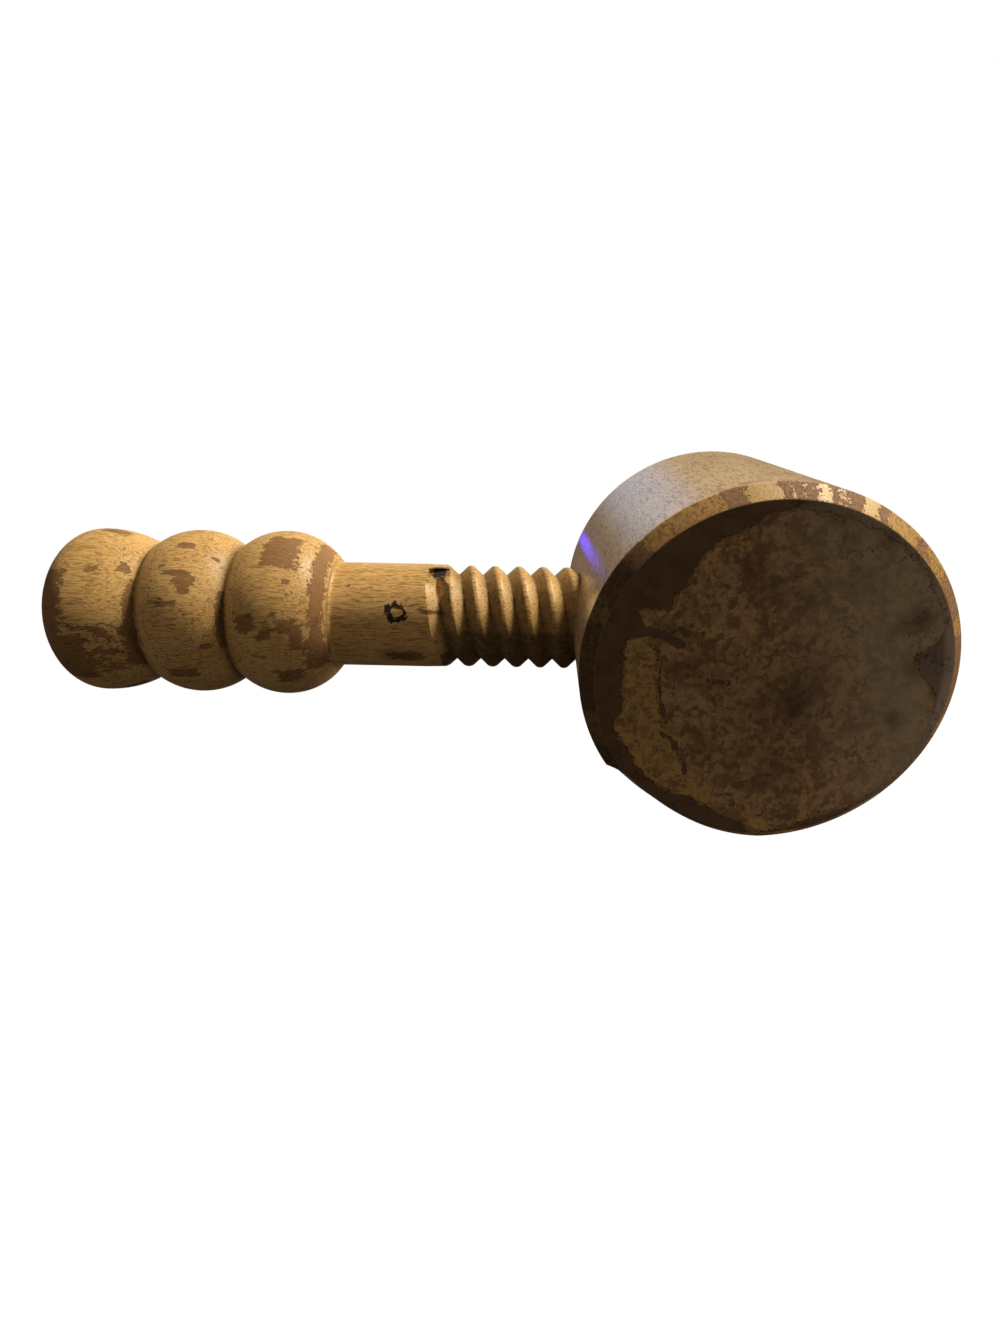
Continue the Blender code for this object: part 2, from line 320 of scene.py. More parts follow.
        rough = nodes.add("MapRange", {"Value": streaks, "To Min": self.satin - 0.08,
                                       "To Max": self.satin + 0.10})
        for mask, level in ((flaked, self.dull), (soil_and_shade, self.dirty)):
            rough = nodes.add("Mix", {"Factor": mask, "A": rough, "B": level})
        relief = nodes.layered(1.0, (flaked, -1.0), (streaks, 0.45), (fibres, 0.16), (marks[0], -0.8))
        film = {"Height": relief, "Distance": self.film_thickness * MM}
        skin = {"Base Color": colour, "Roughness": rough, "Specular IOR Level": 0.4,
                "Normal": nodes.add("Bump", film | {"Strength": 1.0})}
        if self.coat:
            skin |= {"Coat Weight": nodes.layered(self.coat, (flaked, -self.coat)),
                     "Coat Normal": nodes.add("Bump", film | {"Strength": 0.25}),
                     "Coat Roughness": self.coat_roughness}
        return skin


@dataclass(frozen=True)
class WornEndGrain(Finish):
    """End grain of the cup's base, with the remains of a thick ochre filler and old grime.

    A smooth dark band runs round the edge, where the base has rubbed on the table. Inside a
    ragged, slightly raised border lies the filler, gritty and stained, darker in the middle.
    A greyish sheen is painted over the side towards +X, where the third wear attribute is low.
    """

    filler: str
    filler_stained: str
    crust: str
    band: str
    band_worn: str
    stain: str
    sheen_grey: str
    grit_height: float = 0.2
    dull: float = 0.8
    polished: float = 0.5

    def skin(self, nodes: Nodes) -> dict[str, Socket | float | str]:
        """Return the colour, the gloss and the relief of filler, crust, band and stains."""
        space = nodes.place()
        bare, grime_and_shade, pale = nodes.worn()
        crumbs = nodes.add("TexVoronoi", {"Vector": space, "Scale": 1.1}, out="Color")
        crumbs = nodes.add("SeparateColor", {"Color": crumbs}, out="Red")
        flecks = nodes.add("TexVoronoi", {"Vector": space, "Scale": 0.55, "Randomness": 0.9}, out="Color",
                           distance="CHEBYCHEV")
        flecks = nodes.add("SeparateColor", {"Color": flecks}, out="Green")
        grit, cloud, broad, veins = (
            nodes.add("TexNoise", {"Vector": space, "Scale": scale, "Detail": detail, "Roughness": rough})
            for scale, detail, rough in ((1.7, 5.0, 0.7), (0.32, 5.0, 0.6), (0.13, 3.0, 0.5),
                                         (0.22, 6.0, 0.65)))

        gone, tone, crust, broken, rubbed = (
            nodes.add("MapRange", {"Value": value, "From Min": low, "From Max": high})
            for value, low, high in (
                (nodes.layered(bare, (crumbs, 0.25), (grit, 0.5), (cloud, 0.9)), 1.30, 1.35),
                (nodes.layered(-0.6, (broad, 1.2), (cloud, 1.5), (grit, 1.3), (crumbs, 0.55)), 1.38, 1.95),
                (nodes.layered(pale, (flecks, 0.35), (cloud, 1.6), (grit, 0.6)), 1.88, 1.93),
                (broad, 0.52, 0.60), (cloud, 0.4, 0.7)))
        crumbly = nodes.add("MapRange", {"Value": tone, "From Max": 0.8, "To Min": 0.15})
        crusted = nodes.painted(self.filler_stained, (crumbly, self.crust))
        # Painted sheen: a grey cast where the third wear attribute is low, on the side towards +X.
        painted_sheen = nodes.add("MapRange", {"Value": pale, "From Min": 0.36, "From Max": 0.0, "To Max": 0.6})
        crack = nodes.add("Math", {0: nodes.layered(-0.5, (veins, 1.0))}, operation="ABSOLUTE")
        crack = nodes.add("MapRange", {"Value": crack, "From Min": 0.009, "From Max": 0.003, "To Max": 0.5})
        crack = nodes.layered(0.0, (crack, broken))
        filler = nodes.painted(self.filler_stained, (tone, self.filler), (crust, crusted),
                               (painted_sheen, self.sheen_grey), (crack, self.stain))
        band = nodes.painted(self.band, (rubbed, self.band_worn), (painted_sheen, self.sheen_grey))
        soil_and_shade = nodes.soiled_and_shaded(grime_and_shade, grit, 1.4)
        colour = nodes.painted(filler, (gone, band), (soil_and_shade, self.stain))

        rough = nodes.add("Mix", {"Factor": gone, "A": self.dull, "B": self.polished})
        held = nodes.layered(1.0, (gone, -1.0))
        lumps = nodes.layered(1.0, (grit, 1.2), (crust, 0.8))
        relief = nodes.layered(0.0, (lumps, held), (crack, -0.8))
        bump = nodes.add("Bump", {"Height": relief, "Strength": 1.0, "Distance": self.grit_height * MM})
        return {"Base Color": colour, "Roughness": rough, "Normal": bump, "Specular IOR Level": 0.35}


class Outline:
    """A turned section, drawn as points of (along, across), in metres."""

    def __init__(self, start: Pair, spacing: float) -> None:
        """Start the section at a point, with the widest spacing between its points."""
        self.points = [Vector(start)]
        self.spacing = spacing

    def line(self, end: Pair) -> None:
        """Draw a straight stretch to a point, with points no further apart than the spacing."""
        first, last = self.points[-1], Vector(end)
        count = max(1, math.ceil((last - first).length / self.spacing))
        self.points += [first.lerp(last, (i + 1) / count) for i in range(count)]

    def arc(self, centre: Vector, radius: float, start: float, stop: float) -> None:
        """Draw an arc about a centre, from one angle to another.

        Args:
            centre: The arc's centre in the section.
            radius: The arc's radius.
            start: The angle at which it starts, where the section has already arrived.
            stop: The angle at which it ends.
        """
        count = max(3, math.ceil(abs(stop - start) * radius / self.spacing))
        for i in range(count + 1):
            self.add(centre + spoke(start + (stop - start) * i / count) * radius)

    def dome(self, centre: float, reach: float, radius: float, shares: list[float],
             power: float = 1) -> None:
        """Draw a quarter of an oval that closes the section's end.

        Args:
            centre: Where along the axis the oval is widest.
            reach: How far it goes from there, along the axis, with its sign.
            radius: How far it goes from the axis.
            shares: Where the points are, from 0 on the axis to 1 where it is widest.
            power: What the sine and the cosine are raised to; 1 makes an ellipse, less is fuller.
        """
        for turn in (QUARTER * share for share in shares):
            self.add(Vector((centre + reach * math.cos(turn) ** power, radius * math.sin(turn) ** power)))

    def round_corner(self, corner: Pair, after: Pair, radius: float) -> None:
        """Run straight towards a corner and round it with an arc, heading for the next corner.

        Args:
            corner: The sharp corner that the arc replaces.
            after: The corner that follows it.
            radius: The radius of the arc.
        """
        corner, after = Vector(corner), Vector(after)
        into = (self.points[-1] - corner).normalized()
        out = (after - corner).normalized()
        half = into.angle(out) / 2
        centre = corner + (into + out).normalized() * (radius / math.sin(half))
        first, last = (corner + side * (radius / math.tan(half)) for side in (into, out))
        self.line(first)
        start = heading(centre, first)
        self.arc(centre, radius, start, start + math.remainder(heading(centre, last) - start, math.tau))

    def add(self, point: Vector) -> None:
        """Add a point, unless the section is already there."""
        if (point - self.points[-1]).length > SAME_POINT:
            self.points.append(point)


def spoke(angle: float) -> Vector:
    """Return the direction at an angle, as a vector of length 1 in a plane."""
    return Vector((math.cos(angle), math.sin(angle)))


def heading(centre: Vector, point: Vector) -> float:
    """Return the direction from one point of a section to another."""
    return math.atan2(point.y - centre.y, point.x - centre.x)


class Workbench:
    """The moves by which every piece is made: draw a section, turn it, wind it, cut with it."""

    @staticmethod
    @contextmanager
    def editing(thing: Thing, everything: bool = True) -> Iterator[None]:
        """Open a mesh for editing, with all of it picked or as it is, and close it afterwards."""
        bpy.context.view_layer.objects.active = thing
        bpy.ops.object.mode_set(mode="EDIT")
        if everything:
            bpy.ops.mesh.select_all(action="SELECT")
        yield
        bpy.ops.object.mode_set(mode="OBJECT")

    @staticmethod
    def close_up(fill: bool = False) -> None:
        """Merge the points that meet in an open mesh and turn its faces outwards.

        Args:
            fill: Whether to fill the holes that are left.
        """
        bpy.ops.mesh.select_all(action="SELECT")
        bpy.ops.mesh.remove_doubles(threshold=SAME_POINT)
        bpy.ops.mesh.select_all(action="SELECT")
        if fill:
            bpy.ops.mesh.fill_holes(sides=0)
            bpy.ops.mesh.select_all(action="SELECT")
        bpy.ops.mesh.normals_make_consistent(inside=False)

    @staticmethod
    def primitive(add: Callable, name: str, **settings) -> Thing:
        """Add a primitive by its operator and apply its place, turn and size.

        Args:
            add: The operator, such as bpy.ops.mesh.primitive_cube_add.
            name: The name of the new object.
            **settings: What the operator is told.

        Returns:
            The object, whose origin is the world's.
        """
        bpy.ops.object.select_all(action="DESELECT")
        add(**settings)
        bpy.ops.object.transform_apply(location=True, rotation=True, scale=True)
        thing = bpy.context.active_object
        thing.name = name
        return thing

    @staticmethod
    def draw(name: str, points: list[Vector], closed: bool = False) -> Thing:
        """Draw a line of edges by extruding one vertex from point to point.

        Args:
            name: The name of the new object.
            points: The places that the line goes through.
            closed: Whether to close the line and fill it with a face.

        Returns:
            The object, whose origin is the world's.
        """
        thing = Workbench.primitive(bpy.ops.mesh.primitive_plane_add, name, size=MM, location=(0, 0, 0))
        with Workbench.editing(thing):
            bpy.ops.mesh.merge(type="CENTER")
            bpy.ops.transform.translate(value=points[0])
            for before, after in zip(points, points[1:]):
                bpy.ops.mesh.extrude_region_move(TRANSFORM_OT_translate={"value": after - before})
            if closed:
                bpy.ops.mesh.select_all(action="SELECT")
                bpy.ops.mesh.edge_face_add()
        return thing

    @staticmethod
    def turn(thing: Thing, axis: Triple, centre: Triple, steps: int, angle: float = math.tau) -> None:
        """Turn a drawn section about an axis, as on a lathe, and close its seam."""
        with Workbench.editing(thing):
            bpy.ops.mesh.spin(steps=steps, angle=angle, center=centre, axis=axis)
            Workbench.close_up()

    @staticmethod
    def wind(name: str, section: list[Vector], start: Vector, angle: float, lead: float, turns: int,
             steps: int, lift: float = 0.0, lift_reach: float = 0.0) -> Thing:
        """Wind a closed section along a right-handed helix about a line parallel to X.

        Args:
            name: The name of the new object.
            section: The section's points as (along the line, away from it).
            start: The point of the line at which the helix starts.
            angle: The angle about the line at which it starts, from +Y towards +Z.
            lead: How far it advances in a turn.
            turns: How many whole turns it has.
            steps: How many steps each turn has.
            lift: How far the start is drawn away from the line, to let a groove run out.
            lift_reach: The distance along the helix over which the lift fades.

        Returns:
            The wound solid.
        """
        thing = Workbench.draw(name, [Vector((p.x, p.y, 0)) for p in section + section[:1]])
        screw = thing.modifiers.new("winding", "SCREW")
        screw.axis = "X"
        screw.angle = math.tau
        screw.screw_offset = lead
        screw.iterations = turns
        screw.steps = screw.render_steps = steps
        screw.merge_threshold = SAME_POINT
        thing.rotation_euler = (angle, 0, 0)
        thing.location = start
        bpy.context.view_layer.objects.active = thing
        bpy.ops.object.modifier_apply(modifier=screw.name)
        bpy.ops.object.transform_apply(location=True, rotation=True, scale=True)
        with Workbench.editing(thing):
            Workbench.close_up(fill=True)
            bpy.ops.mesh.select_all(action="DESELECT")
        if lift:
            radial = Vector((0, *spoke(angle)))
            tangent = radial.cross(Vector((-1, 0, 0)))
            for vertex in thing.data.vertices:
                offset = vertex.co - start
                in_plane = abs(offset.dot(tangent)) < SAME_POINT and offset.dot(radial) > 0
                vertex.select = in_plane and offset.x < lead / 2
            bpy.context.tool_settings.mesh_select_mode = (True, False, False)
            with Workbench.editing(thing, everything=False):
                bpy.ops.transform.translate(value=radial * lift, use_proportional_edit=True,
                                            proportional_size=lift_reach, use_proportional_connected=True,
                                            proportional_edit_falloff="SMOOTH")
        return thing

    @staticmethod
    def cut(thing: Thing, *cutters: Thing) -> None:
        """Take the shapes of cutters out of a solid, one by one, and put the cutters away."""
        for cutter in cutters:
            bpy.ops.object.select_all(action="DESELECT")
            bpy.context.view_layer.objects.active = thing
            hole = thing.modifiers.new("cut", "BOOLEAN")
            hole.operation = "DIFFERENCE"
            hole.solver = "EXACT"
            hole.object = cutter
            bpy.ops.object.modifier_apply(modifier=hole.name)
            bpy.data.objects.remove(cutter, do_unlink=True)

    @staticmethod
    def smooth(thing: Thing, sharp_above: float) -> None:
        """Shade a piece smooth, except at edges that turn by more than an angle."""
        bpy.ops.object.select_all(action="DESELECT")
        thing.select_set(True)
        bpy.context.view_layer.objects.active = thing
        bpy.ops.object.shade_smooth_by_angle(angle=sharp_above)

    @staticmethod
    def dress(thing: Thing, wear: tuple[np.ndarray, ...], *finishes: Finish) -> None:
        """Write the wear of each vertex on a mesh, for its materials to read, and give it these.

        Args:
            thing: The piece.
            wear: How bare each vertex is, how much grime and painted shade it has, and how pale it is.
            *finishes: Its finishes, in the order of its material slots.
        """
        for name, values in zip(WEAR, wear):
            attribute = thing.data.attributes.new(name, "FLOAT", "POINT")
            attribute.data.foreach_set("value", values.astype(np.float32))
        thing.data.materials.clear()
        for finish in finishes:
            thing.data.materials.append(finish.material())

    @staticmethod
    def vertices(thing: Thing, what: str = "co") -> np.ndarray:
        """Return the places of a mesh's vertices, or their normals, as rows of x, y and z."""
        flat = np.empty(len(thing.data.vertices) * 3, np.float32)
        thing.data.vertices.foreach_get(what, flat)
        return flat.reshape(-1, 3).astype(float)


def turn_from(angle: np.ndarray, degrees: float) -> np.ndarray:
    """Return how far each angle is from a given one, in radians, the short way round."""
    return np.abs((angle - math.radians(degrees) + math.pi) % math.tau - math.pi)


def raised(values: np.ndarray, level: np.ndarray | float, where: np.ndarray) -> np.ndarray:
    """Return values that are raised to a level, if they are lower, in part of the places."""
    return np.where(where, np.maximum(values, level), values)


@dataclass(frozen=True)
class Patch:
    """A place on a round piece where something shows: bare wood, grime, painted shade or thick lacquer.

    along and angle give its middle, reach and spread its half sizes along and round the
    piece, in millimetres except for the angle in degrees. strength is how sure it is.
    """

    along: float
    angle: float
    reach: float
    spread: float
    strength: float = 1.0

    def field(self, along: np.ndarray, angle: np.ndarray, radius: np.ndarray) -> np.ndarray:
        """Return how strongly each vertex lies in the patch, fading further for a large patch."""
        around = turn_from(angle, self.angle) * radius
        off_along = (np.abs(along / MM - self.along) - self.reach) / min(max(1.2 * self.reach, 0.8), 2.6)
        off_round = (around / MM - self.spread) / min(max(self.spread, 0.45), 1.3)
        return self.strength * np.clip(0.5 - np.maximum(off_along, off_round), 0, 1)


@dataclass
class Screw:
    """The turned stick: three bulbs, a plain shank, a two-start thread and a smooth nose.

    Lengths are metres, and a name that ends in _x is a place on the X axis.
    """

    axis_height: float
    handle_end: float
    nose_tip: float
    nose_back: float
    shank_radius: float = 9.5 * MM
    crest_radius: float = 9.3 * MM
    thread_depth: float = 1.65 * MM
    crest_spacing: float = 4.4 * MM
    crest_width: float = 0.4 * MM
    crest_flare: float = 0.35 * MM
    crest_drop: float = 0.13 * MM
    root_rounding: float = 0.3 * MM
    starts: int = 2
    runout_x: float = -53.2 * MM
    runout_angle: float = math.radians(196)
    runout_reach: float = 3.4 * MM
    lead_in: float = 1.6 * MM
    shank_length: float = 17.45 * MM
    shoulder_fillet: float = 1.0 * MM
    bulb_radius: float = 15.0 * MM
    bulb_curve: float = 11.4 * MM
    bulb_spacing: float = 15.85 * MM
    middle_bulb_radius: float = 14.9 * MM
    end_bulb_radius: float = 14.9 * MM
    end_bulb_curve: float = 17.2 * MM
    end_bulb_spacing: float = 17.5 * MM
    end_cap_fullness: float = 2.1
    groove_fillet: float = 0.45 * MM
    nose_dome: float = 2.8 * MM
    nose_inset: float = 0.05 * MM
    chip_x: float = -52.7 * MM
    chip_angle: float = math.radians(198)
    chip_lean: float = math.radians(-9)
    chip_size: Triple = (3.8 * MM, 1.8 * MM, 2.6 * MM)
    chip_out: float = 0.2 * MM
    spacing: float = 0.5 * MM
    steps: int = 168

    @property
    def lead(self) -> float:
        """Return how far the thread advances in a turn."""
        return self.crest_spacing * self.starts

    @property
    def root_radius(self) -> float:
        """Return the radius at the bottom of the thread's grooves."""
        return self.crest_radius - self.thread_depth

    @property
    def near_bulb_x(self) -> float:
        """Return where the bulb next to the shank is widest."""
        reach = self.bulb_curve + self.shoulder_fillet
        drop = self.shank_radius + self.shoulder_fillet - self.bulb_radius + self.bulb_curve
        return self.runout_x - self.shank_length - math.sqrt(reach ** 2 - drop ** 2)

    @property
    def middle_bulb_x(self) -> float:
        """Return where the middle bulb is widest."""
        return self.near_bulb_x - self.bulb_spacing

    @property
    def end_bulb_x(self) -> float:
        """Return where the end bulb is widest."""
        return self.middle_bulb_x - self.end_bulb_spacing

    def on_axis(self, x: float) -> Vector:
        """Return the point of the screw's axis at x."""
        return Vector((x, 0, self.axis_height))

    def section(self) -> Outline:
        """Draw the stick's section as (x, radius), from the end of the handle to the nose."""
        outline = Outline((self.handle_end, 0), self.spacing)
        count = math.ceil(QUARTER * self.end_bulb_radius / self.spacing)
        outline.dome(self.end_bulb_x, self.handle_end - self.end_bulb_x, self.end_bulb_radius,
                     [i / count for i in range(1, count)], 2 / self.end_cap_fullness)
        bulbs = [(Vector((x, radius - curve)), curve) for x, radius, curve in (
            (self.end_bulb_x, self.end_bulb_radius, self.end_bulb_curve),
            (self.middle_bulb_x, self.middle_bulb_radius, self.bulb_curve),
            (self.near_bulb_x, self.bulb_radius, self.bulb_curve))]
        start = QUARTER
        for (centre, curve), (following, next_curve) in zip(bulbs, bulbs[1:]):
            hollow = self.hollow_between(centre, curve, following, next_curve)
            outline.arc(centre, curve, start, heading(centre, hollow))
            outline.arc(hollow, self.groove_fillet, heading(hollow, centre) % math.tau,
                        heading(hollow, following) % math.tau)
            start = heading(following, hollow)
        centre, curve = bulbs[-1]
        hollow = Vector((self.runout_x - self.shank_length, self.shank_radius + self.shoulder_fillet))
        outline.arc(centre, curve, start, heading(centre, hollow))
        outline.arc(hollow, self.shoulder_fillet, heading(hollow, centre) % math.tau, 3 * QUARTER)
        nose_radius = self.root_radius - self.nose_inset
        for point in ((self.runout_x - self.crest_spacing / 2, self.shank_radius),
                      (self.runout_x + self.crest_spacing, self.crest_radius),
                      (self.nose_back - self.lead_in, self.crest_radius), (self.nose_back, nose_radius),
                      (self.nose_tip - self.nose_dome, nose_radius)):
            outline.line(point)
        count = math.ceil(QUARTER * self.nose_dome / self.spacing) + 4
        outline.dome(self.nose_tip - self.nose_dome, self.nose_dome, nose_radius,
                     [i / count for i in reversed(range(count))])
        return outline

    def hollow_between(self, first: Vector, first_curve: float, second: Vector,
                       second_curve: float) -> Vector:
        """Return the centre of the small hollow arc that joins two bulbs."""
        first_reach = first_curve + self.groove_fillet
        second_reach = second_curve + self.groove_fillet
        across = second - first
        along = (across.length ** 2 + first_reach ** 2 - second_reach ** 2) / (2 * across.length)
        unit = across.normalized()
        return first + unit * along + Vector((-unit.y, unit.x)) * math.sqrt(first_reach ** 2 - along ** 2)

    def groove_section(self) -> list[Vector]:
        """Return the closed section of one groove, as (along, radius), open above the crests."""
        half_open = (self.crest_spacing - self.crest_width) / 2
        shoulder = Vector((half_open - self.crest_flare, self.crest_radius - self.crest_drop))
        slope = math.atan2(self.thread_depth - self.crest_drop, shoulder.x - self.root_rounding / 2)
        outer = self.shank_radius + self.crest_width * 2
        bottom = Vector((0, shoulder.y - shoulder.x * math.tan(slope)))
        bottom.y += self.root_rounding * (1 / math.cos(slope) - 1) + (self.root_radius - bottom.y) * 0.5
        centre = Vector((0, bottom.y + self.root_rounding))
        side = [centre + spoke(slope * i / 3 - QUARTER) * self.root_rounding for i in range(4)]
        side += [shoulder, Vector((half_open, self.crest_radius)),
                 Vector((half_open + (outer - self.crest_radius) / math.tan(slope), outer))]
        return [Vector((-p.x, p.y)) for p in reversed(side[1:])] + side

    def threads(self, name: str, section: list[Vector], first_x: float, turns: int,
                **lift: float) -> list[Thing]:
        """Wind a groove's section once for each start of the thread.

        Args:
            name: The name of the wound solids.
            section: The groove's closed section as (along, radius).
            first_x: The X that the helix starts at.
            turns: How many turns it has.
            **lift: How its start is drawn out, as for Workbench.wind.

        Returns:
            The wound solids.
        """
        return [Workbench.wind(name, section, self.on_axis(first_x),
                               self.runout_angle + math.tau * start / self.starts,
                               self.lead, turns, self.steps, **lift) for start in range(self.starts)]

    def build(self) -> Thing:
        """Turn the stick, then cut its two grooves as a thread box does.

        Returns:
            The screw as one mesh in its place.
        """
        points = [Vector((p.x, 0, self.axis_height + p.y)) for p in self.section().points]
        thing = Workbench.draw("nutcracker_screw", points)
        Workbench.turn(thing, (1, 0, 0), self.on_axis(0), self.steps)
        turns = math.ceil((self.nose_tip - self.runout_x) / self.lead)
        grooves = self.threads("groove", self.groove_section(), self.runout_x, turns,
                               lift=self.thread_depth * 1.15, lift_reach=self.runout_reach)
        Workbench.cut(thing, *grooves, self.torn_chip())
        Workbench.smooth(thing, math.radians(30))
        return thing

    def torn_chip(self) -> Thing:
        """Return the splinter that the thread box tore out where a groove runs out."""
        outwards = Vector((0, *spoke(self.chip_angle)))
        chip = Workbench.primitive(
            bpy.ops.mesh.primitive_cube_add, "chip", size=1, scale=self.chip_size,
            location=self.on_axis(self.chip_x) + outwards * (self.shank_radius + self.chip_out),
            rotation=(self.chip_angle, 0, self.chip_lean))
        with Workbench.editing(chip):
            bpy.ops.mesh.subdivide(number_cuts=6, fractal=0.25, fractal_along_normal=0.5, seed=4)
        return chip

    def flaked_patches(self) -> list[Patch]:
        """Return the places where the lacquer has come off, seen and, behind, likely ones."""
        seen = [
            (-120.5, 262, 5.0, 9.0, 0.9), (-115.2, 290, 3.6, 5.0, 1.0), (-110.5, 284, 4.0, 5.5, 0.5),
            (-105.0, 240, 0.8, 2.2, 0.8), (-105.0, 262, 1.0, 3.6, 0.8), (-105.0, 285, 1.8, 4.6, 0.8),
            (-111.0, 226, 0.9, 0.7), (-106.3, 220, 1.0, 1.0), (-111.3, 179, 2.2, 1.3),
            (-95.9, 204, 1.5, 0.9), (-96.2, 228.5, 2.4, 0.5), (-94.4, 233.5, 1.7, 1.0),
            (-94.6, 239.5, 0.9, 0.7), (-97.4, 249, 1.6, 0.5), (-98.4, 246.5, 0.6, 0.5),
            (-98.9, 223.6, 0.8, 0.35), (-96.2, 300.5, 2.2, 1.0), (-91.5, 279.6, 1.0, 0.4),
            (-90.7, 211, 0.5, 0.4), (-89.2, 262, 0.7, 5.0, 0.9), (-79.3, 206, 2.9, 4.2),
            (-73.0, 235, 1.0, 14.0), (-73.6, 290, 1.6, 3.5, 0.8), (-84.2, 260.5, 1.6, 1.5),
            (-80.8, 268.5, 1.3, 0.9), (-77.3, 263, 1.6, 1.2), (-76.0, 272, 0.9, 2.4, 0.8),
            (-77.5, 232.7, 0.5, 0.45), (-79.2, 257, 0.4, 0.8), (-78.0, 303, 2.2, 1.6, 0.9),
            (-68.2, 223, 0.5, 0.35), (-53.6, 250, 1.9, 0.25), (-58.5, 306, 3.2, 1.2, 0.8),
        ]
        chance = random.Random(11)
        on_handle = [(-120, -74), (-30, 150), (0.6, 3.4), (0.4, 2.4), (0.7, 1.0)]
        on_shank = [(-69, -56), (-20, 160), (0.5, 2.2), (0.2, 0.6)]
        likely = [[chance.uniform(*ends) for ends in ranges]
                  for ranges, count in ((on_handle, 26), (on_shank, 5)) for _ in range(count)]
        return [Patch(*values) for values in seen + likely]

    def dress(self, thing: Thing, finish: Finish) -> None:
        """Give the screw its finish, its flaked places and stains, and grime with painted shade in its
        hollows and thread.

        Args:
            thing: The screw.
            finish: The finish of the whole stick.
        """
        points = Workbench.vertices(thing)
        x, y, z = points[:, 0], points[:, 1], points[:, 2] - self.axis_height
        polar = x, np.arctan2(z, y), np.hypot(y, z)
        threaded = x > self.runout_x + 1.0 * MM
        cut = threaded & (x < self.nose_back)
        bare = np.max([patch.field(*polar) for patch in self.flaked_patches()], axis=0)
        bare = raised(bare, 0.12, threaded)
        bare = np.where(x > self.nose_back - self.lead_in, 1.0, bare)

        # Painted shade, with some grime, in the hollows between the bulbs, at the shoulder and under the
        # groove between the end and middle bulbs.
        shoulder = self.runout_x - self.shank_length - 0.9 * MM
        hollows = [((self.middle_bulb_x + self.near_bulb_x) / 2, 1.1 * MM),
                   (self.end_bulb_x + 10.4 * MM, 1.1 * MM), (shoulder, 0.18 * MM)]
        dirt_and_shade = np.max([np.exp(-((x - middle) / reach) ** 2) * 0.8 for middle, reach in hollows], axis=0)
        dirt_and_shade = np.maximum(dirt_and_shade, Patch(-104.6, 280, 0.8, 3.2, 0.6).field(*polar))
        # Painted shade in the thread's roots, darkest at the bottom of the grooves.
        depth = np.clip((self.crest_radius - polar[2]) / self.thread_depth, 0, 1)
        dirt_and_shade = raised(dirt_and_shade, 0.95 * depth ** 3, cut)
        # Painted shade: the thread is darker on its underside, away from the lamps.
        below = np.degrees(polar[1]) % 360
        under = np.clip((below - 240) / 35, 0, 1) * np.clip((350 - below) / 20, 0, 1)
        dirt_and_shade = raised(dirt_and_shade, 0.86 * under, threaded)
        # Painted shade on the thread's flanks that face the handle, which are turned from the key lamp.
        to_handle = np.clip(-5 * Workbench.vertices(thing, "normal")[:, 0] - 0.3, 0, 1)
        dirt_and_shade = raised(dirt_and_shade, 0.68 * to_handle, cut)
        # The first three stains darken the hollow of the torn chip as painted shade; the other two are
        # stains.
        for stain in ((-52.6, 196, 1.9, 1.7, 1.1), (-51.7, 207, 0.5, 1.4, 1.0), (-54.2, 214, 0.5, 0.3, 0.9),
                      (-53.6, 250, 1.9, 0.25, 0.9), (-59.8, 303, 3.2, 1.3, 0.7)):
            dirt_and_shade = np.maximum(dirt_and_shade, Patch(*stain).field(*polar))
        Workbench.dress(thing, (bare, dirt_and_shade, np.zeros_like(x)), finish)


